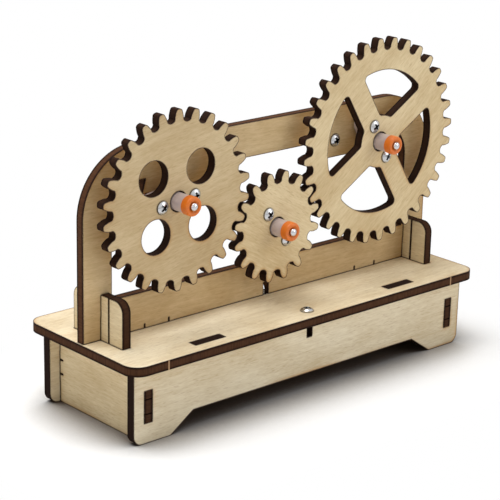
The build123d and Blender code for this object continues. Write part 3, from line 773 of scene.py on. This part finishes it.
class GEARTOY_OT_stage(bpy.types.Operator):
    """Set up the floor, the lamps and the camera"""
    bl_idname = "geartoy.stage"
    bl_label = "Set up stage"

    def execute(self, context):
        scene = context.scene
        look = scene.gear_toy_stage
        bpy.ops.object.select_all(action="DESELECT")
        bpy.ops.mesh.primitive_plane_add(size=8.0)
        floor = bpy.context.object
        floor.name = "floor"
        material, tree = new_material("matte_white_sweep")
        # the sheet keeps the toy's shadow near it, darkened further by a painted shadow, and is paper white, as
        # seen, farther out
        path = add(tree, "ShaderNodeLightPath")
        place = add(tree, "ShaderNodeTexCoord")
        # distance outside the base's outline
        low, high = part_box("top_plate")
        outside = add(tree, "ShaderNodeVectorMath", {0: place.outputs["Object"],
                                                     1: ((low.x + high.x) / 2, (low.y + high.y) / 2, 0)},
                      operation="SUBTRACT")
        outside = add(tree, "ShaderNodeVectorMath", {0: outside.outputs[0]}, operation="ABSOLUTE")
        outside = add(tree, "ShaderNodeVectorMath", {
            0: outside.outputs[0], 1: ((high.x - low.x) / 2, (high.y - low.y) / 2, 0)},
                      operation="SUBTRACT")
        outside = add(tree, "ShaderNodeVectorMath", {0: outside.outputs[0], 1: (0, 0, 0)},
                      operation="MAXIMUM")
        away = add(tree, "ShaderNodeVectorMath", {0: outside.outputs[0]}, operation="LENGTH")
        far = add(tree, "ShaderNodeMapRange", {"Value": away.outputs["Value"], "From Min": 0.002,
                                               "From Max": 0.04}, interpolation_type="SMOOTHSTEP")
        seen = add(tree, "ShaderNodeMath", {0: path.outputs["Is Camera Ray"], 1: far.outputs[0]},
                   operation="MULTIPLY")
        # painted shadow: the sheet's colour darkens towards 5A4F47 where things lie close overhead, on top of the
        # shadow that the lamps cast
        near = add(tree, "ShaderNodeAmbientOcclusion", {"Distance": 0.05}, samples=16)
        shade = add(tree, "ShaderNodeMapRange", {"Value": near.outputs["AO"], "From Min": 0.25,
                                                 "From Max": 0.8})
        floor_and_painted_shadow = add(tree, "ShaderNodeMix", {"Factor": shade.outputs[0], "A": linear("5A4F47"),
                                            "B": linear("FDFDFD")}, data_type="RGBA")
        diffuse = add(tree, "ShaderNodeBsdfDiffuse", {"Color": floor_and_painted_shadow.outputs["Result"]})
        glow = add(tree, "ShaderNodeEmission", {"Color": linear("FFFFFF"), "Strength": 1.0})
        mix = add(tree, "ShaderNodeMixShader", {0: seen.outputs[0], 1: diffuse.outputs[0],
                                                2: glow.outputs[0]})
        finish_material(tree, mix)
        set_material(floor, material)

        world = bpy.data.worlds.new("white_room")
        scene.world = world
        world.use_nodes = True
        tree = world.node_tree
        tree.nodes.clear()
        path = add(tree, "ShaderNodeLightPath")
        seen = add(tree, "ShaderNodeMath", {0: path.outputs["Is Camera Ray"],
                                            1: path.outputs["Is Glossy Ray"]}, operation="MAXIMUM")
        seen = add(tree, "ShaderNodeMath", {0: seen.outputs[0],
                                            1: path.outputs["Is Transmission Ray"]}, operation="MAXIMUM")
        room = add(tree, "ShaderNodeBackground", {"Color": linear("FFFFFF"), "Strength": look.ambient})
        backdrop = add(tree, "ShaderNodeBackground", {"Color": linear("FFFFFF"), "Strength": 1.0})
        mix = add(tree, "ShaderNodeMixShader", {0: seen.outputs[0], 1: room.outputs[0],
                                                2: backdrop.outputs[0]})
        add(tree, "ShaderNodeOutputWorld", {"Surface": mix.outputs[0]})

        for name, place, target, size, power in (
                ("overhead_softbox", (-0.10, 0.10, 0.60), (0.0, 0.0, 0.03), 0.5, look.key_power),
                ("front_softbox", (0.45, -0.62, 0.38), (0.0, 0.0, 0.05), 0.5, look.fill_power),
                ("left_softbox", (-0.75, -0.05, 0.30), (0.0, 0.0, 0.04), 0.4, look.side_power)):
            bpy.ops.object.select_all(action="DESELECT")
            aim = (Vector(target) - Vector(place)).to_track_quat("-Z", "Y").to_euler()
            bpy.ops.object.light_add(type="AREA", location=place, rotation=aim)
            lamp = bpy.context.object
            lamp.name = name
            lamp.data.energy = power
            lamp.data.size = size

        # the photograph's viewpoint
        bpy.ops.object.camera_add()
        camera = bpy.context.object
        camera.name = "camera"
        lift, heading, roll = math.radians(17.948), math.radians(-41.982), math.radians(1.284)
        back = Vector((math.cos(lift) * math.sin(heading), -math.cos(lift) * math.cos(heading),
                       math.sin(lift)))
        right = (-back).cross(Vector((0, 0, 1))).normalized()
        up = right.cross(-back).normalized()
        leaning_right = math.cos(roll) * right + math.sin(roll) * up
        leaning_up = -math.sin(roll) * right + math.cos(roll) * up
        turn = Matrix((leaning_right, leaning_up, back)).transposed().to_4x4()
        low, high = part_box("top_plate")
        eye = Vector((-361.0, -392.5, 213.9)) * MM
        plate_middle = Vector(((low.x + high.x) / 2, (low.y + high.y) / 2, 0))
        camera.matrix_world = Matrix.Translation(plate_middle + eye) @ turn
        camera.data.sensor_fit = "HORIZONTAL"
        camera.data.sensor_width = 36.0
        camera.data.lens = 127.06
        camera.data.shift_x = 0.00935
        camera.data.shift_y = -0.00276
        camera.data.clip_end = 20.0
        scene.camera = camera
        scene.view_settings.view_transform = "Standard"
        return {"FINISHED"}


STEPS = (GEARTOY_OT_boards, GEARTOY_OT_gears, GEARTOY_OT_hubs, GEARTOY_OT_stops, GEARTOY_OT_bushes,
         GEARTOY_OT_axles, GEARTOY_OT_knob, GEARTOY_OT_screws, GEARTOY_OT_stage)


class GEARTOY_PT_panel(bpy.types.Panel):
    """Lists the steps that dress the toy"""
    bl_label = "Gear toy"
    bl_idname = "GEARTOY_PT_panel"
    bl_space_type = "VIEW_3D"
    bl_region_type = "UI"
    bl_category = "Gear toy"

    def draw(self, context):
        for group in (context.scene.gear_toy_wood, context.scene.gear_toy_hardware,
                      context.scene.gear_toy_stage):
            box = self.layout.box()
            for key in group.__annotations__:
                box.prop(group, key)
        for step in STEPS:
            self.layout.operator(step.bl_idname)


GROUPS = {"gear_toy_wood": GearToyWood, "gear_toy_hardware": GearToyHardware,
          "gear_toy_stage": GearToyStage}


def register():
    for kind in (*GROUPS.values(), *STEPS, GEARTOY_PT_panel):
        bpy.utils.register_class(kind)
    for name, group in GROUPS.items():
        setattr(bpy.types.Scene, name, bpy.props.PointerProperty(type=group))


def unregister():
    for name in GROUPS:
        delattr(bpy.types.Scene, name)
    for kind in reversed((*GROUPS.values(), *STEPS, GEARTOY_PT_panel)):
        bpy.utils.unregister_class(kind)


def main():
    register()
    bpy.ops.geartoy.boards()
    bpy.ops.geartoy.gears()
    bpy.ops.geartoy.hubs()
    bpy.ops.geartoy.stops()
    bpy.ops.geartoy.bushes()
    bpy.ops.geartoy.axles()
    bpy.ops.geartoy.knob()
    bpy.ops.geartoy.screws()
    bpy.ops.geartoy.stage()


if __name__ == "__main__":
    main()
